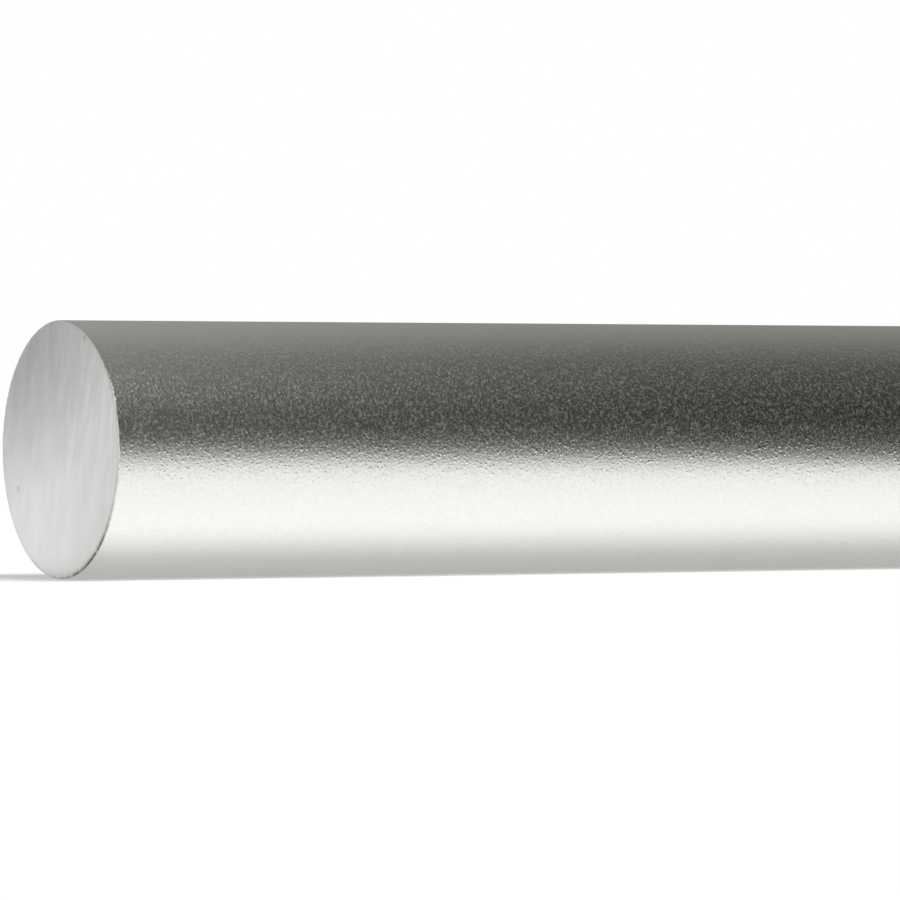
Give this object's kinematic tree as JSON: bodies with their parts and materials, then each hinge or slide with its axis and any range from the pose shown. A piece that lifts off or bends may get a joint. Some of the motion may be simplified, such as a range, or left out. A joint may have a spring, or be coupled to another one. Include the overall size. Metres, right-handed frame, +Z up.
{
  "type": "round metal bar",
  "caption": "Solid round aluminium bar stock with a fine satin surface, sawn square at both ends with lightly deburred rims; raw stock for shafts, pins, posts and turned parts.",
  "frame": {"origin": "on the floor line under the middle of the bar, midway between the two sawn ends", "axes": "+X along the bar's axis, +Z up from the floor it lies on; the axis runs one radius above the origin"},
  "size_m": [0.3048, 0.0254, 0.0254],
  "materials": {
    "satin_metal": "fine matte satin, lightly grained, with fine straight saw marks on both end faces"
  },
  "bodies": {
    "root": {"bar": "satin_metal"}
  },
  "joints": []
}
